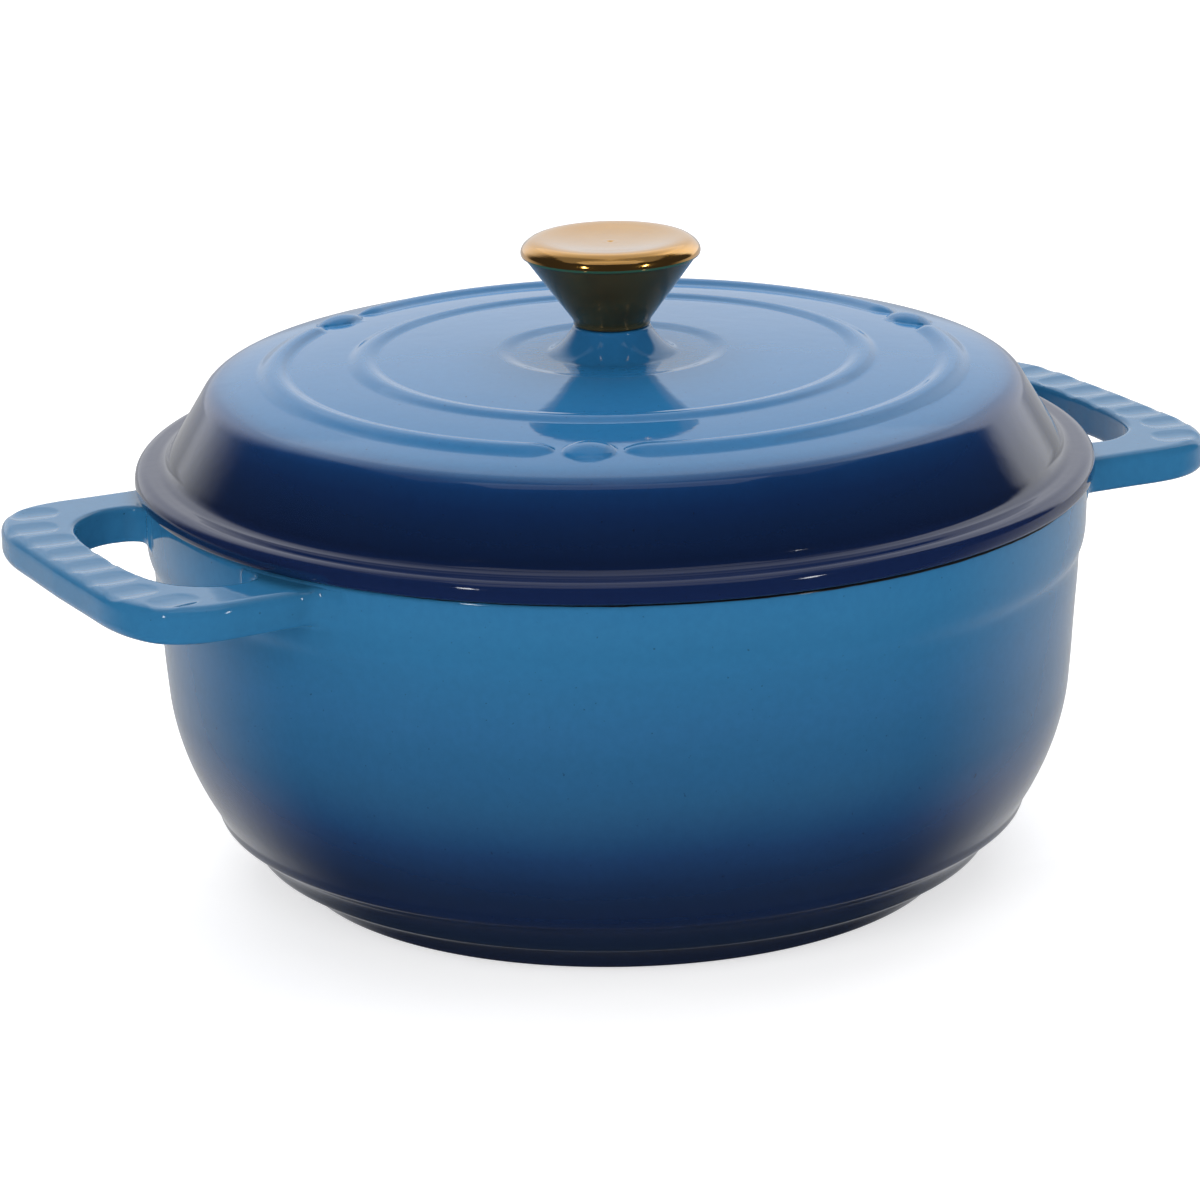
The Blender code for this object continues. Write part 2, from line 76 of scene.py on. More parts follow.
PLAN_STEP = 0.4
ROOT_R, ROOT_LOW, ROOT_HIGH, ROOT_Y = 131.2, 100.6, 115.9, 76.0   # where a loop's mesh ends, inside the wall
NET_ROUNDS, PULLS = 5, 3      # rounds of smoothing (none in the last) and pulls back in each
SLOPE_STEP = 0.02

# lid
SIDE_ANGLE = 31.3             # the side's slope from the vertical, in degrees
SIDE_TAN = math.tan(math.radians(SIDE_ANGLE))
SHOULDER = (110.9, 138.28, 7.9)   # radius and height of its arc's centre, and the arc's radius
SHOULDER_TOP = 75.4           # where the shoulder's arc meets the crown, in degrees
RING_IN = (71.5, 4.7, 1.10)   # radius of the crest, half width, height
RING_OUT = (97.0, 5.4, 1.60)
DOT = (7.4, 6.2, 2.2)         # half length round the lid, half width, height
DOT_TURN = math.radians(-1.6)
DOT_ANGLES = [DOT_TURN + math.radians(a) for a in (0.0, 120.0, 240.0)]
RING_END = 9.6                # from a dot's centre to the tip of the ring beside it
RING_TIP = 7.0                # length over which the ring's ends taper
BEAD_POWER = 1.15             # above 1, a bead's crest is a little broader than a cosine's
ORNAMENT_R = (88, 106.5)      # the ring and studs are added between these radii,
ORNAMENT_Z = 143.5            # and above this height
RECESS_R, RECESS_EDGE, RECESS_DROP = 28.0, 5.4, 0.9   # round recess under the knob
BOSS_R, BOSS_FOOT, BOSS_TOP = 11.3, 7.8, 159.1
BOSS_POWER = 1.6              # concave flare
BOSS_END = 24.0               # the boss is added inside this radius only
HOLE_R = 3.4                  # screw hole
SIDE_FOOT = (128.15 - 1.6 * SIDE_TAN, 126.6)

# knob
KNOB_STEPS = 192
CONE_TOP, DISC_LOW = 180.42, 180.48


def smooth(points, step):
    """A centripetal Catmull-Rom curve through the points, sampled about every step."""
    p = np.array(points, float)
    p = np.vstack([2 * p[0] - p[1], p, 2 * p[-1] - p[-2]])
    out = []
    for i in range(1, len(p) - 2):
        a, b, c, d = p[i - 1:i + 3]
        gaps = [max(np.linalg.norm(v) ** 0.5, 1e-6) for v in (b - a, c - b, d - c)]
        t = np.concatenate([[0.0], np.cumsum(gaps)])
        count = max(1, int(math.ceil(np.linalg.norm(c - b) / step)))
        for u in np.linspace(t[1], t[2], count, endpoint=False):
            l1 = (a * (t[1] - u) + b * (u - t[0])) / (t[1] - t[0])
            l2 = (b * (t[2] - u) + c * (u - t[1])) / (t[2] - t[1])
            l3 = (c * (t[3] - u) + d * (u - t[2])) / (t[3] - t[2])
            m1 = (l1 * (t[2] - u) + l2 * (u - t[0])) / (t[2] - t[0])
            m2 = (l2 * (t[3] - u) + l3 * (u - t[1])) / (t[3] - t[1])
            out.append((m1 * (t[2] - u) + m2 * (u - t[1])) / (t[2] - t[1]))
    out.append(p[-2])
    return np.array(out)


def line(a, b, step):
    count = max(1, int(round(math.dist(a, b) / step)))
    return np.array([[a[0] + (b[0] - a[0]) * i / count, a[1] + (b[1] - a[1]) * i / count]
                     for i in range(count + 1)])


def arc(cx, cy, radius, start, stop, count):
    a = np.radians(np.linspace(start, stop, count + 1))
    return np.stack([cx + radius * np.cos(a), cy + radius * np.sin(a)], 1)


def chain(*runs):
    """Runs of points joined end to end, without the doubled points between them."""
    out = [runs[0]]
    for run in runs[1:]:
        gap = np.linalg.norm(run[0] - out[-1][-1])
        out.append(run[1:] if gap < 1e-6 else run)
    return np.vstack(out)


def mesh_from(name, verts, quads):
    """A smooth shaded mesh of points in millimetres."""
    mesh = bpy.data.meshes.new(name)
    faces = [tuple(map(int, q)) for q in quads]
    mesh.from_pydata((np.asarray(verts) * MM).tolist(), [], faces)
    mesh.validate()
    mesh.shade_smooth()
    return mesh


def placed(name, data):
    """A new object in the scene, of a mesh, camera or light."""
    obj = bpy.data.objects.new(name, data)
    bpy.context.scene.collection.objects.link(obj)
    return obj


def turned(name, profile, angles, lift=None, closed=False):
    """Turn a profile of (radius, height) round Z. Ends on the axis become one point each.

    lift, if given, adds a height at each radius, angle and height.
    """
    n, m = len(profile), len(angles)
    r, z = profile[:, 0], profile[:, 1]
    t = np.asarray(angles)
    rr, tt = np.meshgrid(r, t)
    zz = np.tile(z, (m, 1))
    if lift is not None:
        zz = zz + lift(rr, tt, zz)
    verts = np.stack([rr * np.cos(tt), rr * np.sin(tt), zz], -1).reshape(-1, 3)
    i = np.arange(n - 1) if not closed else np.arange(n)
    j = np.arange(m)
    ii, jj = np.meshgrid(i, j)
    i2, j2 = (ii + 1) % n, (jj + 1) % m
    quads = np.stack([jj * n + ii, jj * n + i2, j2 * n + i2, j2 * n + ii], -1).reshape(-1, 4)
    mesh = mesh_from(name, verts, quads)
    shape = bmesh.new()
    shape.from_mesh(mesh)
    bmesh.ops.remove_doubles(shape, verts=shape.verts, dist=SAME_POINT)
    bmesh.ops.recalc_face_normals(shape, faces=shape.faces)
    shape.to_mesh(mesh)
    shape.free()
    mesh.shade_smooth()
    return mesh


# ---- pot -------------------------------------------------------------------------------

WALL = smooth([
    (RIM_R, 115.3), (135.12, 112.0), (135.1, 108.0), (134.97, 104.0), (134.82, 101.4), (134.45, 99.0),
    (133.95, 97.4), (133.4, 96.0), (133.05, 94.0), (132.85, 91.0), (132.6, 87.0), (132.1, 81.0),
    (131.4, 72.0), (131.0, 66.0), (130.5, 60.0), (129.9, 54.0), (128.8, 48.2), (127.1, 42.1),
    (124.8, 36.0), (121.96, 30.0), (118.9, 24.6)], 1.2)


def wall_radius(z):
    order = np.argsort(WALL[:, 1])
    return np.interp(z, WALL[order, 1], WALL[order, 0])


def pot_profile():
    inside = smooth([(0.0, 5.6), (40.0, 5.6), (82.0, 5.6), (92.0, 7.4), (101.2, 11.8), (108.2, 18.4),
                     (113.7, 26.4), (118.3, 35.2), (122.1, 45.0), (125.1, 57.0), (127.1, 72.0),
                     (128.3, 90.0), (128.9, 108.0), (128.9, 116.0)], 2.4)
    rim = chain(smooth([(128.9, 116.0), (129.15, 116.95), (129.9, 117.3)], 0.35),
                line((129.9, 117.3), (133.7, 117.3), 0.8),
                smooth([(133.7, 117.3), (134.6, 116.95), (135.0, 116.2), (RIM_R, 115.3)], 0.35))
    foot = smooth([(118.9, 24.6), (118.15, 23.2), (117.8, 21.8), (117.35, 20.6), (116.4, 19.6),
                   (114.6, 18.6), (112.2, 17.2), (110.3, 15.6), (109.0, 13.9), (108.2, 12.3),
                   (107.75, 10.9), (107.0, 9.7), (105.6, 8.9), (103.4, 8.2), (101.0, 7.2),
                   (98.8, 5.7), (97.1, 3.8), (96.0, 2.0), (95.2, 0.8), (94.4, 0.2), (93.4, 0.0)], 0.7)
    under = chain(line((93.4, 0.0), (88.4, 0.0), 2.5), line((88.4, 0.0), (87.0, 1.2), 0.9),
                  line((87.0, 1.2), (0.0, 1.2), 8.0))
    return chain(inside, rim, WALL, foot, under)


def handle_outline():
    """Half outlines of the +X handle, from the wall to y = 0: its outer edge and its finger hole's.

    Each starts with a fillet arc against the wall, which runs a little past it.
    """
    fillet, half = 9.0, 60.1
    cy = half + fillet
    cx = math.sqrt((RIM_R + fillet) ** 2 - cy * cy)
    root = math.degrees(math.atan2(-cy, -cx)) + 360.0
    outer = chain(arc(cx, cy, fillet, root - 14.0, 270.0, 24),
                  smooth([(cx, half), (139.0, 60.5), (149.5, 60.9), (156.6, 59.9), (162.7, 57.2),
                          (167.5, 52.6), (170.9, 45.4), (173.0, 35.4), (TIP_X - 0.3, 18.0),
                          (TIP_X, 0.0)], 1.0))
    fillet, half = 6.0, 42.6
    cy = half - fillet
    cx = math.sqrt((RIM_R + fillet) ** 2 - cy * cy)
    root = math.degrees(math.atan2(-cy, -cx)) % 360.0
    hole = chain(arc(cx, cy, fillet, root + 25.0, 90.0, 20),
                 smooth([(cx, half), (139.7, 42.75), (143.4, 41.8), (147.9, 39.2), (152.2, 35.0),
                         (155.4, 28.6), (157.4, 19.2), (158.25, 9.0), (158.4, 0.0)], 1.0))
    return outer, hole


def closed_outline(half, back_r):
    """A closed loop from a half outline, its mirror image, and an arc behind them inside the wall."""
    low = half[::-1] * [1.0, -1.0]
    lead = math.degrees(math.atan2(half[0, 1], half[0, 0]))
    back = arc(0.0, 0.0, back_r, -lead, lead, 40)
    return np.vstack([back, half, low[1:]])


def outline_distance(points, loop):
    """Signed distance in plan to a closed loop, negative inside."""
    best = np.full(len(points), 1e9)
    inside = np.zeros(len(points), bool)
    x, y = points[:, 0], points[:, 1]
    for (ax, ay), (bx, by) in zip(loop, np.roll(loop, -1, 0)):
        dx, dy = bx - ax, by - ay
        size = dx * dx + dy * dy
        if size < 1e-12:
            continue
        t = np.clip(((x - ax) * dx + (y - ay) * dy) / size, 0, 1)
        best = np.minimum(best, (x - ax - t * dx) ** 2 + (y - ay - t * dy) ** 2)
        if ay != by:
            inside ^= ((ay > y) != (by > y)) & (x < (by - ay) ** -1 * dx * (y - ay) + ax)
    return np.where(inside, -1, 1) * np.sqrt(best)


class Plan:
    """The two outline distances on a fine grid, read by bilinear interpolation."""

    def __init__(self):
        low, high = np.array(PLAN_LOW), np.array(PLAN_HIGH)
        self.shape = tuple(((high - low) / PLAN_STEP).astype(int) + 1)
        xs = low[0] + PLAN_STEP * np.arange(self.shape[0])
        ys = low[1] + PLAN_STEP * np.arange(self.shape[1])
        spots = np.stack(np.meshgrid(xs, ys, indexing="ij"), -1).reshape(-1, 2)
        outer, hole = handle_outline()
        # the bar reaches into the wall, and the hole stops just inside the wall's face
        self.outer = outline_distance(spots, closed_outline(outer, 129.0)).reshape(self.shape)
        self.hole = outline_distance(spots, closed_outline(hole, 133.4)).reshape(self.shape)

    def read(self, table, x, y):
        u = np.clip((x - PLAN_LOW[0]) / PLAN_STEP, 0, self.shape[0] - 1.001)
        v = np.clip((y - PLAN_LOW[1]) / PLAN_STEP, 0, self.shape[1] - 1.001)
        i, j = u.astype(int), v.astype(int)
        u, v = u - i, v - j
        return (table[i, j] * (1 - u) * (1 - v) + table[i + 1, j] * u * (1 - v)
                + table[i, j + 1] * (1 - u) * v + table[i + 1, j + 1] * u * v)


def scallops(x, y):
    """How far the grip's scallops dip below the top of the handle."""
    dip = np.zeros_like(x)
    for centre in FLUTES:
        fan = centre / FLUTE_FAN
        mid = FLUTE_MID - max(0.0, abs(centre) - FLUTE_STRAIGHT) * FLUTE_BACK
        along = (x - mid) * math.cos(fan) + (y - centre) * math.sin(fan)
        across = (y - centre) * math.cos(fan) - (x - mid) * math.sin(fan)
        half = FLUTE_HALF * np.sqrt(np.clip(1 - (along / FLUTE_REACH) ** 4, 0, 1))
        u = np.abs(across) / np.maximum(half, 0.01)
        shallow = np.clip(half / FLUTE_HALF, 0, 1)
        dip = np.maximum(dip, FLUTE_DEPTH * np.clip(1 - u ** 2.2, 0, 1) * shallow)
    return dip


def rounded(flat, up, radius):
    """Distance to a rounded edge between a vertical and a level face."""
    a, b = flat + radius, up + radius
    return np.minimum(np.maximum(a, b), 0) + np.hypot(np.maximum(a, 0), np.maximum(b, 0)) - radius


def handle_distance(x, y, z, plan):
    """About the distance to a handle blended into the wall, negative inside."""
    up = np.maximum(z - HANDLE_TOP + scallops(x, y), HANDLE_LOW - z)
    bar = np.maximum(rounded(plan.read(plan.outer, x, y), up, EDGE_R),
                     rounded(-plan.read(plan.hole, x, y), up, HOLE_EDGE_R))
    radial = np.hypot(x, y)
    wall = radial - wall_radius(z) + UNDER_SKIN
    h = np.clip(0.5 + 0.5 * (wall - bar) / WALL_BLEND, 0, 1)
    body = wall * (1 - h) + bar * h - WALL_BLEND * h * (1 - h)
    crop = np.maximum.reduce([ROOT_R - radial, z - ROOT_HIGH, ROOT_LOW - z, np.abs(y) - ROOT_Y])
    return np.maximum(body, crop)


def surface_net(values, origin, step):
    """Vertices and quads of the zero level of a grid: one vertex in each cell that it crosses."""
    shape = np.array(values.shape) - 1
    spot = np.zeros((*shape, 3))
    count = np.zeros(shape)
    edges = []
    for axis in range(3):
        o0, o1 = [a for a in range(3) if a != axis]
        low, high = [slice(None)] * 3, [slice(None)] * 3
        low[axis], high[axis] = slice(0, -1), slice(1, None)
        a, b = values[tuple(low)], values[tuple(high)]
        cross = (a < 0) != (b < 0)
        t = np.where(cross, a / np.where(a == b, 1, a - b), 0)
        index = np.stack(np.meshgrid(*[np.arange(s) for s in a.shape], indexing="ij"), -1).astype(float)
        index[..., axis] += t
        for i in (0, 1):
            for j in (0, 1):
                part = [slice(None)] * 3
                part[o0], part[o1] = slice(i, shape[o0] + i), slice(j, shape[o1] + j)
                here = cross[tuple(part)]
                spot += index[tuple(part)] * here[..., None]
                count += here
        edges.append((axis, o0, o1, a, cross))
    active = count > 0
    ids = np.full(tuple(shape), -1)
    ids[active] = np.arange(active.sum())
    verts = origin + step * spot[active] / count[active][:, None]
    quads = []
    for axis, o0, o1, a, cross in edges:
        at = np.argwhere(cross)
        keep = (at[:, o0] >= 1) & (at[:, o1] >= 1) & (at[:, o0] < shape[o0]) & (at[:, o1] < shape[o1])
        at = at[keep]
        corners = []
        for d0, d1 in ((-1, -1), (0, -1), (0, 0), (-1, 0)):
            cell = at.copy()
            cell[:, o0] += d0
            cell[:, o1] += d1
            corners.append(ids[tuple(cell.T)])
        quad = np.stack(corners, -1)
        flip = (a[tuple(at.T)] >= 0) != (axis == 1)
        quad[flip] = quad[flip][:, ::-1]
        quads.append(quad)
    return verts, np.vstack(quads)


def handle_mesh():
    """The +X handle as a smoothed net, pulled onto the surface where handle_distance is 0."""
    plan = Plan()
    low, high = np.array(NET_LOW), np.array(NET_HIGH)
    counts = ((high - low) / NET_STEP).astype(int) + 1
    axes = [low[k] + NET_STEP * np.arange(counts[k]) for k in range(3)]
    x, y, z = (g.ravel() for g in np.meshgrid(*axes, indexing="ij"))
    values = handle_distance(x, y, z, plan).reshape(counts)
    verts, quads = surface_net(values, low, NET_STEP)
    ends = np.concatenate([quads[:, [0, 1]], quads[:, [1, 2]], quads[:, [2, 3]], quads[:, [3, 0]]])
    degree = np.bincount(ends.ravel(), minlength=len(verts))[:, None]
    for lap in range(NET_ROUNDS):
        if lap < NET_ROUNDS - 1:
            near = np.zeros_like(verts)
            np.add.at(near, ends[:, 0], verts[ends[:, 1]])
            np.add.at(near, ends[:, 1], verts[ends[:, 0]])
            verts = 0.5 * verts + 0.5 * near / degree
        for _ in range(PULLS):
            value = handle_distance(*verts.T, plan)
            slope = np.stack([handle_distance(*(verts + SLOPE_STEP * unit).T, plan)
                              - handle_distance(*(verts - SLOPE_STEP * unit).T, plan)
                              for unit in np.eye(3)], 1) / (2 * SLOPE_STEP)
            size = np.maximum((slope ** 2).sum(1), 0.2)
            move = -(value / size)[:, None] * slope
            length = np.linalg.norm(move, axis=1, keepdims=True)
            verts = verts + move * np.minimum(1, 0.5 * NET_STEP / np.maximum(length, 1e-9))
    return verts, quads


def unite(obj, other):
    """Join other's mesh to obj's, and delete other."""
    join = obj.modifiers.new("Union", "BOOLEAN")
    join.operation = "UNION"
    join.solver = "MANIFOLD"
    join.object = other
    bpy.context.view_layer.update()
    graph = bpy.context.evaluated_depsgraph_get()
    mesh = bpy.data.meshes.new_from_object(obj.evaluated_get(graph))
    obj.modifiers.clear()
    obj.data = mesh
    bpy.data.objects.remove(other)


def even_angles(count):
    return np.linspace(0, math.tau, count, endpoint=False)


def build_pot():
    pot = placed("pot", turned("pot", pot_profile(), even_angles(TURN_STEPS)))
    verts, quads = handle_mesh()
    both = np.vstack([verts, verts * [-1.0, -1.0, 1.0]])
    both_quads = np.vstack([quads, quads + len(verts)])
    unite(pot, placed("handle_loops", mesh_from("handle_loops", both, both_quads)))
    pot.data.shade_smooth()
    pot.data.set_sharp_from_angle(angle=SHARP)
    return pot


# ---- lid -------------------------------------------------------------------------------

CROWN = smooth([(0.0, 153.5), (20.0, 153.25), (40.0, 152.6), (60.0, 151.75), (71.5, 151.05),
                (85.0, 150.1), (97.0, 148.85), (105.0, 147.55), (109.0, 146.78), (112.89, 145.92)], 1.0)


def crown(r):
    return np.interp(r, CROWN[:, 0], CROWN[:, 1])


def bead(distance, half, height):
    """Height of a rounded rib at a distance from its crest."""
    u = np.clip(np.abs(distance) / half, 0, 1)
    return height * (0.5 + 0.5 * np.cos(math.pi * u ** BEAD_POWER))


def lid_top(r):
    """Height of the turned part of the lid's top: crown, recess, boss and inner ring."""
    r = np.asarray(r, float)
    z = crown(r) + bead(r - RING_IN[0], RING_IN[1], RING_IN[2])
    floor = crown(RECESS_R) - RECESS_DROP
    u = np.clip((RECESS_R + RECESS_EDGE - r) / RECESS_EDGE, 0, 1)
    step = u * u * (3 - 2 * u)
    z = z * (1 - step) + floor * step
    flare = np.clip(1 - (r - BOSS_R) / BOSS_FOOT, 0, 1) ** BOSS_POWER
    return np.where(r < BOSS_END, np.maximum(z, floor + (BOSS_TOP - floor) * flare), z)


def ornament(r, t, z):
    """The broken outer ring and its three studs, as a height added to the crown."""
    on_top = (r > ORNAMENT_R[0]) & (r < ORNAMENT_R[1]) & (z > ORNAMENT_Z)
    height = np.zeros_like(r)
    taper = np.ones_like(r)
    for angle in DOT_ANGLES:
        turn = (t - angle + math.pi) % math.tau - math.pi
        along = turn * RING_OUT[0]
        away = np.hypot(along / DOT[0], (r - RING_OUT[0]) / DOT[1])
        dome = DOT[2] * np.clip(1 - away ** 2, 0, 1) ** 0.7
        height = np.maximum(height, dome)
        past = np.clip((np.abs(along) - RING_END) / RING_TIP, 0, 1)
        taper = np.minimum(taper, np.sin(past * math.pi / 2) ** 0.8)
    ring = bead(r - RING_OUT[0], RING_OUT[1] * (0.25 + 0.75 * taper), RING_OUT[2] * taper ** 0.7)
    return np.where(on_top, np.maximum(height, ring), 0.0)


def lid_profile():
    """A closed loop of (radius, height): over the top from the screw hole, and back underneath."""
    boss = smooth([(HOLE_R, 159.9), (7.0, 159.9), (10.4, 159.9), (11.1, 159.6), (BOSS_R, BOSS_TOP)], 0.5)
    # denser where the boss, the recess's edge and the rings are
    r = np.concatenate([np.linspace(BOSS_R, 18.9, 22), np.arange(19.2, 28.0, 1.5),
                        np.arange(28.0, 34.0, 0.4), np.arange(35.0, 66.0, 2.0),
                        np.arange(66.4, 76.8, 0.4), np.arange(77.0, 91.0, 1.6),
                        np.arange(91.2, 103.2, 0.4), np.arange(103.8, 112.5, 0.8)])
    crest = np.stack([r, lid_top(r)], 1)
    shoulder = arc(*SHOULDER, SHOULDER_TOP, SIDE_ANGLE, 26)
    side = line(tuple(shoulder[-1]), SIDE_FOOT, 1.2)
    flange = smooth([SIDE_FOOT, (127.75, 125.5), (128.7, 124.4), (130.3, 123.65), (132.4, 123.5),
                     (134.6, 123.35), (136.2, 122.7), (137.15, 121.6), (137.44, 120.3),
                     (137.44, 119.0), (137.2, 118.1), (136.5, 117.6)], 0.45)
    skirt = chain(line((136.5, 117.6), (127.6, 117.6), 3.0), line((127.6, 117.6), (127.6, 114.4), 1.2),
                  smooth([(127.6, 114.4), (127.4, 113.8), (126.8, 113.6)], 0.3),
                  line((126.8, 113.6), (124.8, 113.6), 2.0))
    inside = smooth([(124.8, 113.6), (124.2, 113.9), (123.8, 115.6), (123.4, 121.0), (123.0, 125.0),
                     (119.4, 131.0), (115.2, 138.0), (112.0, 141.6), (107.0, 143.0), (104.0, 143.1),
                     (72.0, 146.5), (34.0, 148.9), (14.0, 149.48)], 1.6)
    land = chain(line((14.0, 149.48), (12.5, 149.45), 2.0), line((12.5, 149.45), (11.0, 148.4), 1.0),
                 line((11.0, 148.4), (HOLE_R, 148.4), 3.0),
                 line((HOLE_R, 148.4), (HOLE_R, 159.9), 6.0)[:-1])
    return chain(boss, crest, shoulder, side, flange, skirt, inside, land)


def lid_angles():
    """Angles round the lid, denser near the studs."""
    fine = math.radians(0.22)
    coarse = math.radians(0.9)
    near = math.radians(11.0)
    out = []
    third = math.tau / 3
    for angle in DOT_ANGLES:
        out.append(angle + np.linspace(-near, near, int(2 * near / fine), endpoint=False))
        out.append(angle + np.linspace(near, third - near, int((third - 2 * near) / coarse), endpoint=False))
    return np.concatenate(out)


def build_lid():
    lid = placed("lid_casting", turned("lid_casting", lid_profile(), lid_angles(), ornament, True))
    lid.data.set_sharp_from_angle(angle=SHARP)
    return lid


# ---- knob ------------------------------------------------------------------------------

def build_knob():
    """The hollow cone, and the disc that closes it with a hairline seam between them."""
    angles = even_angles(KNOB_STEPS)
    # a short skirt at the foot of the cone hides the gasket
    cone = chain(smooth([(24.75, CONE_TOP), (17.6, 170.6), (11.35, 162.1)], 1.0),
                 smooth([(11.35, 162.1), (11.05, 161.4), (11.0, 160.7), (10.85, 160.3), (10.5, 160.15)], 0.2),
                 line((10.5, 160.15), (10.2, 160.2), 0.4), line((10.2, 160.2), (10.2, 161.1), 0.5),
                 line((10.2, 161.1), (3.5, 161.1), 3.0), line((3.5, 161.1), (3.5, 162.3), 1.2),
                 line((3.5, 162.3), (9.4, 162.3), 3.0), line((9.4, 162.3), (23.0, CONE_TOP), 2.0),
                 line((23.0, CONE_TOP), (24.75, CONE_TOP), 0.8)[:-1])
    stem = placed("knob_stem", turned("knob_stem", cone, angles, closed=True))
    # a shallow dish with a small turning mark in its middle, and a rolled edge
    cap = chain(smooth([(0.0, 183.72), (0.5, 183.8), (1.1, 184.0), (3.0, 184.03), (8.0, 184.2),
                        (12.0, 184.5), (15.5, 184.88), (18.2, 185.18), (20.2, 185.28),
                        (21.8, 185.12), (23.2, 184.6), (24.4, 183.7), (25.25, 182.75),
                        (25.6, 181.75), (25.6, 181.1), (25.45, 180.62), (25.2, DISC_LOW)], 0.3),
                line((25.2, DISC_LOW), (23.0, DISC_LOW), 0.8),
                line((23.0, DISC_LOW), (22.6, 182.7), 1.1),
                smooth([(22.6, 182.7), (20.0, 183.9), (15.0, 183.4), (0.0, 182.6)], 1.5))
    disc = placed("knob_disc", turned("knob_disc", cap, angles))
    for obj in (stem, disc):
        obj.data.set_sharp_from_angle(angle=SHARP)
    return stem, disc


# ---- materials -------------------------------------------------------------------------

def linear(rgb):
    """An sRGB colour of 0 to 255 as a linear RGBA."""
    c = np.array(rgb, float) / 255.0
    c = np.where(c <= 0.04045, c / 12.92, ((c + 0.055) / 1.055) ** 2.4)
    return (*c, 1.0)


class Nodes:
    """A short way to write a material's nodes."""

    def __init__(self, name):
        self.material = bpy.data.materials.new(name)
        self.material.use_nodes = True
        self.tree = self.material.node_tree
        self.shader = self.tree.nodes["Principled BSDF"]
        self.place = self.add("ShaderNodeTexCoord").outputs["Object"]

    def add(self, kind, **settings):
        node = self.tree.nodes.new(kind)
        for key, value in settings.items():
            setattr(node, key, value)
        return node

    def wire(self, value, socket):
        if isinstance(value, bpy.types.NodeSocket):
            self.tree.links.new(value, socket)
        else:
            socket.default_value = value

    def maths(self, operation, a, b=0.0):
        node = self.add("ShaderNodeMath", operation=operation)
        for value, socket in zip((a, b), node.inputs):
            self.wire(value, socket)
        return node.outputs[0]

    def noise(self, scale, detail=2.0, rough=0.5):
        node = self.add("ShaderNodeTexNoise")
        self.wire(self.place, node.inputs["Vector"])
        node.inputs["Scale"].default_value = scale
        node.inputs["Detail"].default_value = detail
        node.inputs["Roughness"].default_value = rough
        return node.outputs["Fac"]

    def ramp(self, factor, stops):
        node = self.add("ShaderNodeValToRGB")
        ramp = node.color_ramp
        while len(ramp.elements) < len(stops):
            ramp.elements.new(0.5)
        for element, (at, colour) in zip(ramp.elements, stops):
            element.position = at
            element.color = colour
        self.wire(factor, node.inputs["Fac"])
        return node.outputs["Color"]

    def band(self, value, low, high, out_low=0.0, out_high=1.0):
        node = self.add("ShaderNodeMapRange")
        self.wire(value, node.inputs["Value"])
        ends = {"From Min": low, "From Max": high, "To Min": out_low, "To Max": out_high}
        for key, number in ends.items():
            self.wire(number, node.inputs[key])
        return node.outputs["Result"]

    def mix(self, factor, a, b, blend="MIX"):
        node = self.add("ShaderNodeMix", data_type="RGBA", blend_type=blend)
        # the node's colour sockets: A and B in, result out
        self.wire(factor, node.inputs["Factor"])
        self.wire(a, node.inputs[6])
        self.wire(b, node.inputs[7])
        return node.outputs[2]

    def split(self):
        """The three outputs of the object coordinates, in metres."""
        node = self.add("ShaderNodeSeparateXYZ")
        self.wire(self.place, node.inputs[0])
        return node.outputs

    def radius(self):
        """Distance from the object's Z axis."""
        x, y, _ = self.split()
        squares = self.maths("MULTIPLY", x, x), self.maths("MULTIPLY", y, y)
        return self.maths("SQRT", self.maths("ADD", *squares))

    def bump(self, height, strength, distance, under=None):
        node = self.add("ShaderNodeBump")
        node.inputs["Strength"].default_value = strength
        node.inputs["Distance"].default_value = distance
        self.wire(height, node.inputs["Height"])
        if under is not None:
            self.wire(under, node.inputs["Normal"])
        return node.outputs["Normal"]

    def give(self, **values):
        for key, value in values.items():
            self.wire(value, self.shader.inputs[key.replace("_", " ")])
        return self.material


def stops_of(table, high):
    """Ramp stops from (millimetres, colour) pairs over 0 to high."""
    return [(at / high, linear(colour)) for at, colour in table]


def blend_of(dark, light, low=0.3, high=0.7):
    """Stops of a ramp from a dark to a light colour, over the middle of a noise."""
    return [(low, linear(dark)), (high, linear(light))]


def shifted(n, value, noise, reach):
    """The value moved up and down by a noise, by up to half the reach in metres."""
    return n.maths("ADD", value, n.maths("MULTIPLY", n.maths("SUBTRACT", noise, 0.5), reach))


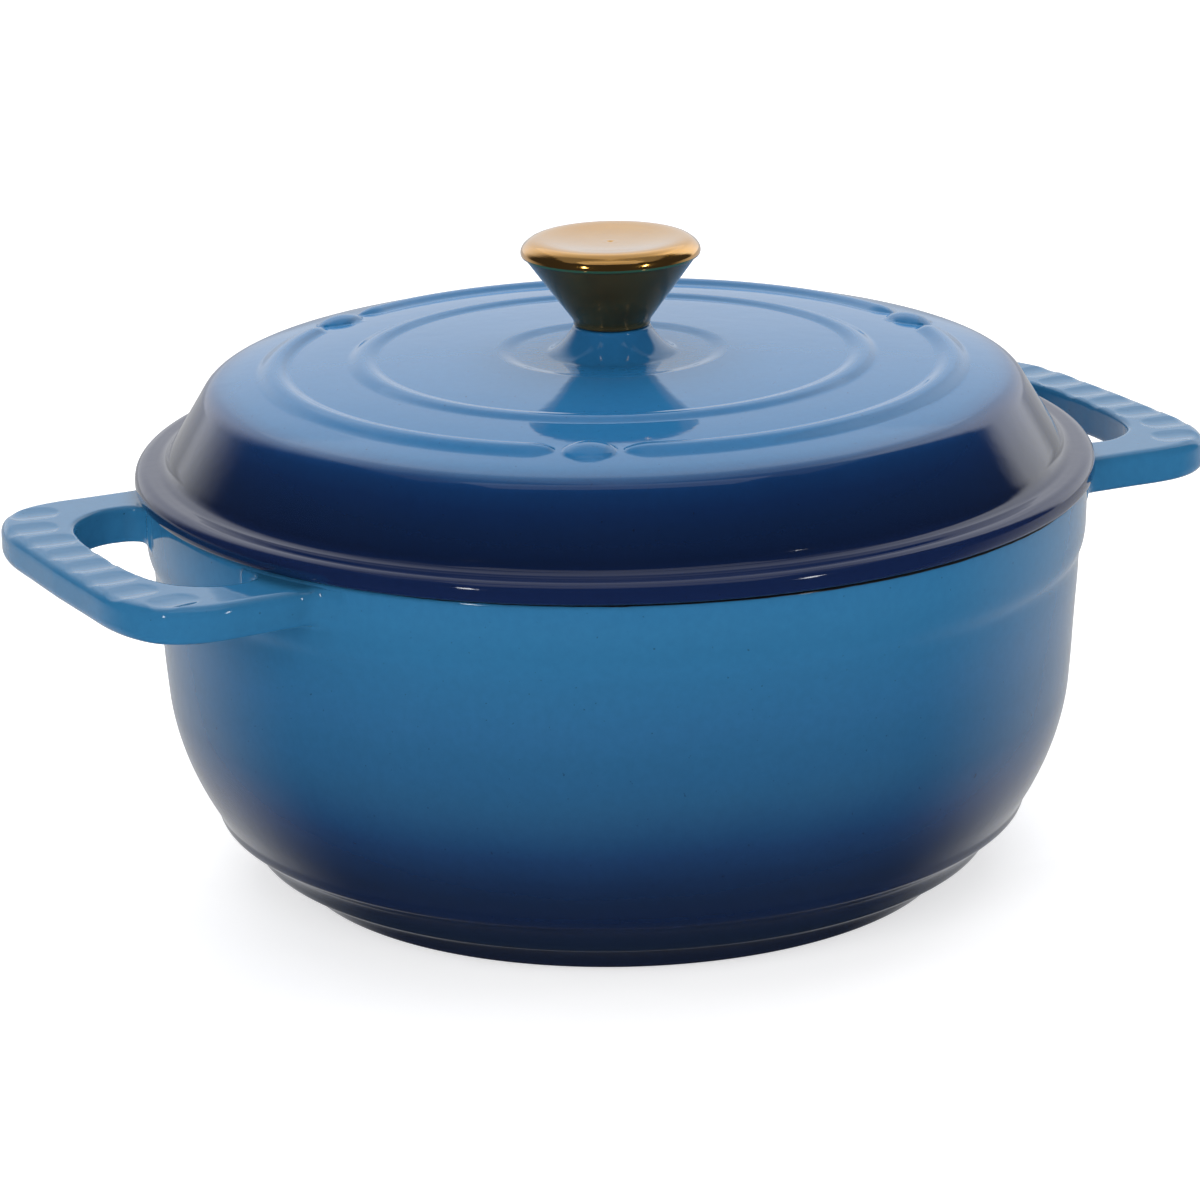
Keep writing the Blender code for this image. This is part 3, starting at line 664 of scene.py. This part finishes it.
def enamel(name, table, at_of, bare_rim=False):
    """Glossy graded glass enamel: spray-faded colour, fine grain and specks, soft orange peel.

    at_of gives, from the nodes, the place in the colour table, in metres. The lid's table also holds a
    painted sheen on its flange.
    """
    n = Nodes(name)
    at = shifted(n, at_of(n), n.noise(14.0, 3.0, 0.55), 0.007)
    at = shifted(n, at, n.noise(1500.0, 2.0, 0.6), 0.0016)
    high = table[-1][0]
    colour = n.ramp(n.band(at, 0.0, high * MM), stops_of(table, high))
    tone = n.ramp(n.noise(420.0, 3.0, 0.6), blend_of((246, 246, 246), (255, 255, 255)))
    colour = n.mix(1.0, colour, tone, "MULTIPLY")
    speck = n.band(n.noise(900.0, 1.0, 0.4), 0.77, 0.80)
    colour = n.mix(n.maths("MULTIPLY", speck, 0.5), colour, linear(SPECK))
    rough = n.band(n.noise(60.0, 3.0, 0.6), 0.3, 0.7, 0.045, 0.085)
    peel = n.bump(n.noise(190.0, 2.0, 0.5), 0.10, 0.0004)
    ripple = n.bump(n.noise(38.0, 2.0, 0.5), 0.10, 0.0012, peel)
    if bare_rim:
        # the glaze stops just short of the rim, a little lower on one side of the pot
        x, y, z = n.split()
        across = n.maths("ADD", n.maths("MULTIPLY", x, GLAZE_SIDE[0]),
                         n.maths("MULTIPLY", y, GLAZE_SIDE[1]))
        drop = n.maths("ADD", n.maths("MULTIPLY", across, GLAZE_TILT),
                       n.maths("MULTIPLY", n.noise(90.0, 2.0), GLAZE_WAVER))
        bare = n.band(n.maths("ADD", z, drop), *GLAZE_END)
        colour = n.mix(bare, colour, linear(BARE))
        glossy = n.maths("MULTIPLY", rough, n.maths("SUBTRACT", 1.0, bare))
        rough = n.maths("ADD", glossy, n.maths("MULTIPLY", bare, 0.6))
    n.give(Base_Color=colour, Roughness=rough, Normal=ripple)
    n.give(IOR=1.5, Coat_Weight=0.35, Coat_Roughness=0.03, Coat_IOR=1.5)
    return n.material


def lining():
    """Pale semi-gloss inside enamel with faint specks, a little browner near the bottom."""
    n = Nodes("lining_enamel")
    tone = n.ramp(n.noise(30.0, 4.0, 0.6), blend_of((222, 216, 202), (234, 229, 217), 0.25, 0.75))
    speck = n.band(n.noise(700.0, 1.0, 0.4), 0.72, 0.76)
    colour = n.mix(n.maths("MULTIPLY", speck, 0.35), tone, linear((120, 108, 92)))
    low = n.band(n.split()[2], 0.004, 0.020, 0.22, 0.0)
    colour = n.mix(low, colour, linear((186, 172, 148)))
    rough = n.band(n.noise(50.0, 3.0, 0.6), 0.3, 0.7, 0.16, 0.28)
    return n.give(Base_Color=colour, Roughness=rough, IOR=1.5,
                  Normal=n.bump(n.noise(160.0), 0.12, 0.0004))


def bare_iron():
    """Seasoned iron where the enamel stops: nearly black, rough and a little metallic."""
    n = Nodes("bare_iron")
    tone = n.ramp(n.noise(260.0, 4.0, 0.65), blend_of((14, 13, 13), (44, 42, 41)))
    rough = n.band(n.noise(300.0, 3.0), 0.3, 0.7, 0.45, 0.72)
    return n.give(Base_Color=tone, Metallic=0.35, Roughness=rough,
                  Normal=n.bump(n.noise(900.0, 3.0), 0.35, 0.0003))


def plated(name, light, dark, rough, peel, metal=1.0, lacquer=0.0, lacquer_ior=1.5):
    """Polished plated metal: faint turning marks, cloudy polish and a varied tone.

    rough is the smoothest and the roughest value, peel the strength of the fine bump.
    """
    n = Nodes(name)
    tone = n.ramp(n.noise(90.0, 4.0, 0.6), blend_of(dark, light, 0.25, 0.75))
    lines = n.add("ShaderNodeTexWave", wave_type="RINGS", rings_direction="Z")
    n.wire(n.place, lines.inputs["Vector"])
    lines.inputs["Scale"].default_value = 900.0
    lines.inputs["Distortion"].default_value = 2.0
    turned_marks = n.bump(lines.outputs["Fac"], 0.03, 0.0002)
    return n.give(Base_Color=tone, Metallic=metal, Coat_Weight=lacquer, Coat_Roughness=0.06,
                  Coat_IOR=lacquer_ior, Roughness=n.band(n.noise(55.0, 4.0, 0.6), 0.25, 0.75, *rough),
                  Normal=n.bump(n.noise(330.0, 2.0), peel, 0.0004, turned_marks))


def rubber():
    n = Nodes("gasket_rubber")
    tone = n.ramp(n.noise(400.0, 3.0), blend_of((24, 24, 26), (44, 44, 46)))
    return n.give(Base_Color=tone, Roughness=n.band(n.noise(200.0), 0.3, 0.7, 0.55, 0.8),
                  Normal=n.bump(n.noise(1400.0), 0.2, 0.0002))


# colours of the enamel by height on the pot, and by radius + LID_CENTRE - height on the lid, where the two
# last stops, on the flange, also hold a painted purple sheen
POT_TONES = [(0, (17, 27, 49)), (10, (17, 30, 50)), (20, (16, 31, 60)), (27, (17, 34, 62)),
             (35, (20, 42, 75)), (43, (25, 54, 92)), (48, (28, 65, 103)), (54, (34, 76, 114)),
             (60, (37, 84, 122)), (66, (38, 88, 128)), (72, (39, 91, 131)), (80, (42, 96, 138)),
             (90, (43, 101, 143)), (102, (43, 105, 147)), (110, (46, 110, 153)), (120, (46, 111, 156))]
LID_TONES_AND_FLANGE_SHEEN = [(0, (39, 110, 162)), (60, (40, 111, 163)), (96, (40, 111, 163)), (107, (39, 110, 162)),
             (111, (36, 107, 158)), (115, (31, 95, 144)), (119, (23, 70, 116)), (122, (16, 51, 96)),
             (125, (13, 44, 86)), (132, (11, 35, 73)), (140, (10, 30, 63)), (151, (8, 24, 54)),
             # the flange's two stops: the enamel's colour lifted lighter and more purple than the side's, a
             # painted sheen
             (156, (13, 29, 64)), (170, (15, 31, 68))]
LID_CENTRE = 150.0
PALE, IRON = 1, 2             # material slots beside the enamel's
SPECK, BARE = (14, 22, 40), (20, 19, 19)
GLAZE_END = (0.11690, 0.11705)   # metres: the glaze ends between these heights
GLAZE_SIDE = (0.886, -0.463)     # the side where it ends lower
GLAZE_TILT, GLAZE_WAVER = 0.0045, 0.0006


def pot_place(n):
    return n.split()[2]


def lid_place(n):
    return n.maths("SUBTRACT", n.maths("ADD", n.radius(), LID_CENTRE * MM), n.split()[2])


def assign(obj, *mats):
    obj.data.materials.clear()
    for mat in mats:
        obj.data.materials.append(mat)


def face_data(mesh):
    """Radius and height in millimetres, and the normal's Z, of each face of a mesh."""
    centres = np.zeros(len(mesh.polygons) * 3)
    normals = np.zeros(len(mesh.polygons) * 3)
    mesh.polygons.foreach_get("center", centres)
    mesh.polygons.foreach_get("normal", normals)
    x, y, z = centres.reshape(-1, 3).T / MM
    return np.hypot(x, y), z, normals[2::3]


def paint_pot(pot, pale, iron):
    """Enamel outside, pale lining inside, bare iron on the rim and under the foot."""
    assign(pot, enamel("pot_enamel_look", POT_TONES, pot_place, bare_rim=True), pale, iron)
    r, z, _ = face_data(pot.data)
    under, rim = 1.5, 116.2
    slots = np.zeros(len(r), int)
    # between the two faces of the wall, and below it between the inside and outside corners
    between = np.where(z > 24, wall_radius(z) - 3.0, 92 + 1.1 * z)
    slots[(z > under) & (z < rim) & (r < between)] = PALE
    slots[(z <= under) & (r < 92.5)] = IRON
    slots[(z >= rim) & (r < 133.9)] = IRON
    pot.data.polygons.foreach_set("material_index", slots)


def paint_lid(lid, pale, iron):
    """Enamel on top, pale lining below, bare iron on the seat and the skirt."""
    assign(lid, enamel("lid_enamel_look", LID_TONES_AND_FLANGE_SHEEN, lid_place), pale, iron)
    r, z, slope = face_data(lid.data)
    slots = np.zeros(len(r), int)
    below = ((slope < -0.05) & (z < 149.6)) | (r < 4.0)
    slots[below & (r < 124.0)] = PALE
    slots[z < 117.9] = IRON
    lid.data.polygons.foreach_set("material_index", slots)


def paint(pot, lid, stem, disc):
    iron = bare_iron()
    pale = lining()
    paint_pot(pot, pale, iron)
    paint_lid(lid, pale, iron)
    assign(disc, plated("knob_gold_look", (238, 180, 84), (230, 168, 72), (0.09, 0.16), 0.04,
                        lacquer=1.0, lacquer_ior=1.8))
    assign(stem, plated("knob_bronze_look", (142, 110, 60), (112, 84, 44), (0.08, 0.14), 0.03,
                        metal=0.8, lacquer=0.3))
    steel = plated("zinc_look", (196, 198, 200), (166, 168, 170), (0.22, 0.36), 0.06)
    for name in ("knob_screw", "knob_bush", "flat_washer", "lock_washer"):
        assign(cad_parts[name], steel)
    assign(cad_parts["knob_gasket"], rubber())


# ---- camera, floor and light -----------------------------------------------------------

VIEW_TURN = math.radians(27.6)   # the camera stands this far round from -Y towards -X
CAMERA_AWAY = 1.44042571
CAMERA_UP = 0.514291453
PITCH, YAW, ROLL = 0.294241516, -0.00352855, -0.0212270
FOCAL = 155.918
UP = np.array([0.0, 0.0, 1.0])
FORWARD = np.array([math.sin(VIEW_TURN), math.cos(VIEW_TURN), 0.0])
RIGHT = np.array([math.cos(VIEW_TURN), -math.sin(VIEW_TURN), 0.0])

FLOOR_SIDES, FLOOR_R, FLOOR_Z = 48, 7000.0, -0.15
FLOOR_GLOW = 0.62

# The room that the object reflects. Edges are pairs between which it fades in: by heading,
# 1 straight behind the object and -1 towards the camera, by the part of a direction to the
# right of the view, or by its height.
HORIZON = (-0.03, 0.05)
BACKDROP_EDGE = (0.50, 0.95)
BACKDROP_RIGHT_EDGE = (0.51, 0.66)
RIGHT_SIDE = (0.0, 0.2)
SIDES = (0.25, 0.6)
BACKDROP_TOP = (0.5, 0.9)
BACKDROP_TOP_CUT = 0.6
BACKDROP_LEVEL = 0.75
SIDE_BOOST = 0.45             # how much brighter it is off to the sides
TABLE_EDGE = (-0.12, 0.75)
TABLE_SKEW = 0.1
TABLE_NEAR = (-0.8, -0.5)
TABLE_LEVEL = 0.5
AMBIENT_LEVEL = 0.04
ROOM_TINT = (0.97, 0.98, 1.0, 1.0)

# name, place, aim, size in metres, watts, seen in reflections
LIGHTS = [
    ("softbox_top", (0.0, 0.9, 1.3), (0.0, 0.9, 0.0), (1.68, 2.3), 2.2, True),
    ("fill_top", (0.0, 0.9, 1.3), (0.0, 0.9, 0.0), (1.68, 2.3), 35.0, False),
    ("fill_front", (-0.3, -2.2, 1.3), (0.0, 0.0, 0.08), (2.0, 1.6), 25.5, False),
    ("fill_left", (-2.2, -0.6, 1.0), (0.0, 0.0, 0.08), (1.4, 1.4), 10.0, False),
    ("fill_right", (2.2, -0.6, 1.0), (0.0, 0.0, 0.08), (1.4, 1.4), 10.0, False),
    ("card_high", (0.0, -0.35, 1.4), (0.0, -0.35, 0.0), (1.2, 0.5), 0.8, True),
    ("strip_left", (-1.15, -1.64, 1.0), (0.0, 0.0, 0.12), (0.12, 0.5), 2.0, True),
    ("strip_right", (1.44, -1.39, 1.0), (0.0, 0.0, 0.12), (0.12, 0.5), 2.0, True),
]


def in_frame(v):
    """A direction or point given as right, away from the camera and up, in the frame's axes."""
    return v[0] * RIGHT + v[1] * FORWARD + v[2] * UP


def placement(x_axis, y_axis, z_axis, origin):
    """The matrix of an object from its three axes and its place."""
    place = Matrix.Identity(4)
    for column, axis in enumerate((x_axis, y_axis, z_axis, origin)):
        for row, value in enumerate(axis):
            place[row][column] = value
    return place


def build_camera():
    level = math.cos(PITCH)
    ahead = np.array([math.sin(YAW) * level, math.cos(YAW) * level, -math.sin(PITCH)])
    right = np.array([math.cos(YAW), -math.sin(YAW), 0.0])
    up = np.cross(right, ahead)
    x_axis = math.cos(ROLL) * right + math.sin(ROLL) * up
    y_axis = -math.sin(ROLL) * right + math.cos(ROLL) * up
    data = bpy.data.cameras.new("camera")
    data.sensor_fit = "HORIZONTAL"
    data.sensor_width = 36.0
    data.lens = FOCAL
    data.clip_start, data.clip_end = 0.05, 60.0
    camera = placed("camera", data)
    camera.matrix_world = placement(in_frame(x_axis), in_frame(y_axis), in_frame(-ahead),
                                    in_frame((0.0, -CAMERA_AWAY, CAMERA_UP)))
    bpy.context.scene.camera = camera


def area_light(name, at, towards, size, power, seen):
    """An area light, its places as for in_frame. It shows in reflections only if seen."""
    data = bpy.data.lights.new(name, "AREA")
    data.shape = "RECTANGLE"
    data.size, data.size_y = size
    data.energy = power
    light = placed(name, data)
    at, towards = in_frame(at), in_frame(towards)
    back = at - towards
    back = back / np.linalg.norm(back)
    side = RIGHT - (RIGHT @ back) * back
    side = side / np.linalg.norm(side)
    light.matrix_world = placement(side, np.cross(back, side), back, at)
    light.visible_camera = False
    light.visible_glossy = seen


def build_floor():
    """A round pale floor just under the pot, lit a little from itself so that it stays white."""
    angles = even_angles(FLOOR_SIDES)
    ring = np.stack([FLOOR_R * np.cos(angles), FLOOR_R * np.sin(angles),
                     np.full(FLOOR_SIDES, FLOOR_Z)], -1)
    mesh = bpy.data.meshes.new("floor")
    mesh.from_pydata((ring * MM).tolist(), [], [tuple(range(FLOOR_SIDES))])
    floor = placed("floor", mesh)
    look = Nodes("floor_paper")
    tone = look.ramp(look.noise(3.0), blend_of((246, 246, 247), (249, 249, 250)))
    assign(floor, look.give(Base_Color=tone, Roughness=0.9, Emission_Color=tone,
                            Emission_Strength=FLOOR_GLOW))
    floor.visible_glossy = False


def build_world():
    """White to the camera. To the object: a bright backdrop behind, a table below, and dark in front."""
    world = bpy.data.worlds.new("studio")
    bpy.context.scene.world = world
    world.use_nodes = True
    tree = world.node_tree
    tree.nodes.clear()

    def add(kind, **settings):
        node = tree.nodes.new(kind)
        for key, value in settings.items():
            setattr(node, key, value)
        return node

    def maths(operation, a, b=0.0):
        node = add("ShaderNodeMath", operation=operation)
        for value, socket in zip((a, b), node.inputs):
            if isinstance(value, bpy.types.NodeSocket):
                tree.links.new(value, socket)
            else:
                socket.default_value = value
        return node.outputs[0]

    def step(value, low, high):
        node = add("ShaderNodeMapRange", interpolation_type="SMOOTHSTEP")
        tree.links.new(value, node.inputs["Value"])
        node.inputs["From Min"].default_value = low
        node.inputs["From Max"].default_value = high
        return node.outputs["Result"]

    toward = add("ShaderNodeTexCoord").outputs["Generated"]
    split = add("ShaderNodeSeparateXYZ")
    tree.links.new(toward, split.inputs[0])
    x, y, z = split.outputs

    def along(axis):
        return maths("ADD", maths("MULTIPLY", x, axis[0]), maths("MULTIPLY", y, axis[1]))

    def less(value, factor, cut=1.0):
        """The value times 1 - cut * factor."""
        return maths("MULTIPLY", value, maths("SUBTRACT", 1.0, maths("MULTIPLY", factor, cut)))

    aside = along(RIGHT)
    level = maths("SQRT", maths("MAXIMUM", maths("SUBTRACT", 1.0, maths("MULTIPLY", z, z)), 1e-5))
    heading = maths("DIVIDE", along(FORWARD), level)      # 1 straight behind the object
    above = step(z, *HORIZON)
    to_right = maths("MULTIPLY", step(heading, *BACKDROP_RIGHT_EDGE), step(aside, *RIGHT_SIDE))
    wall = maths("MAXIMUM", step(heading, *BACKDROP_EDGE), to_right)
    off_centre = step(maths("ABSOLUTE", aside), *SIDES)
    wall = less(wall, less(step(z, *BACKDROP_TOP), off_centre), BACKDROP_TOP_CUT)
    wall = maths("MULTIPLY", wall, maths("ADD", maths("MULTIPLY", off_centre, SIDE_BOOST), 1.0))
    wall = maths("MULTIPLY", maths("MULTIPLY", wall, BACKDROP_LEVEL), above)
    low_heading = maths("ADD", heading, maths("MULTIPLY", aside, TABLE_SKEW))
    table = maths("MULTIPLY", step(low_heading, *TABLE_EDGE), TABLE_LEVEL)
    table = less(maths("MULTIPLY", table, step(z, *TABLE_NEAR)), above)
    strength = maths("ADD", maths("ADD", wall, table), AMBIENT_LEVEL)
    seen = add("ShaderNodeBackground")
    seen.inputs["Color"].default_value = (1.0, 1.0, 1.0, 1.0)
    seen.inputs["Strength"].default_value = 1.0
    room = add("ShaderNodeBackground")
    room.inputs["Color"].default_value = ROOM_TINT
    tree.links.new(strength, room.inputs["Strength"])
    path = add("ShaderNodeLightPath")
    mix = add("ShaderNodeMixShader")
    tree.links.new(path.outputs["Is Camera Ray"], mix.inputs[0])
    tree.links.new(room.outputs[0], mix.inputs[1])
    tree.links.new(seen.outputs[0], mix.inputs[2])
    out = add("ShaderNodeOutputWorld")
    tree.links.new(mix.outputs[0], out.inputs["Surface"])


def main():
    pot = build_pot()
    lid = build_lid()
    stem, disc = build_knob()
    paint(pot, lid, stem, disc)
    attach(pot, "pot")
    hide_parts("pot_body")
    for piece, node, slot in ((lid, "lid", "lid_enamel"), (stem, "knob_cone", "knob_cone_gold"),
                              (disc, "knob_cap", "knob_gold")):
        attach(piece, "lid_assembly")
        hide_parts(node)
    build_camera()
    build_floor()
    build_world()
    for light in LIGHTS:
        area_light(*light)
    bpy.context.scene.view_settings.view_transform = "Standard"


main()
